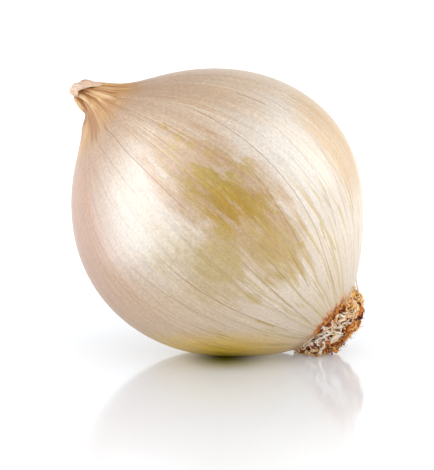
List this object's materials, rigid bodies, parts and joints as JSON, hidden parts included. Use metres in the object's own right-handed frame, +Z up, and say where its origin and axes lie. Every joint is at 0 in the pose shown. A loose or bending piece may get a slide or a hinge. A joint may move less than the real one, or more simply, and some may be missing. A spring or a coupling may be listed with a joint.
{
  "type": "onion",
  "caption": "Round dry-skinned onion lying on its side, with a pinched, folded dry neck at one end and a matted tuft of dried roots at the other.",
  "frame": {"origin": "middle of the flat spot on the belly that the onion rests on", "axes": "+Z up; the onion's axis lies in the XZ plane, with the neck up at -X and the roots down at +X; -Y is the side seen from the front"},
  "size_m": [0.0731, 0.0723, 0.071],
  "materials": {
    "skin": "satin, thin dry papery skin",
    "dry_root": "matt, dry and fibrous"
  },
  "bodies": {
    "root": {"bulb": "skin", "root_tuft": "dry_root"}
  },
  "joints": []
}
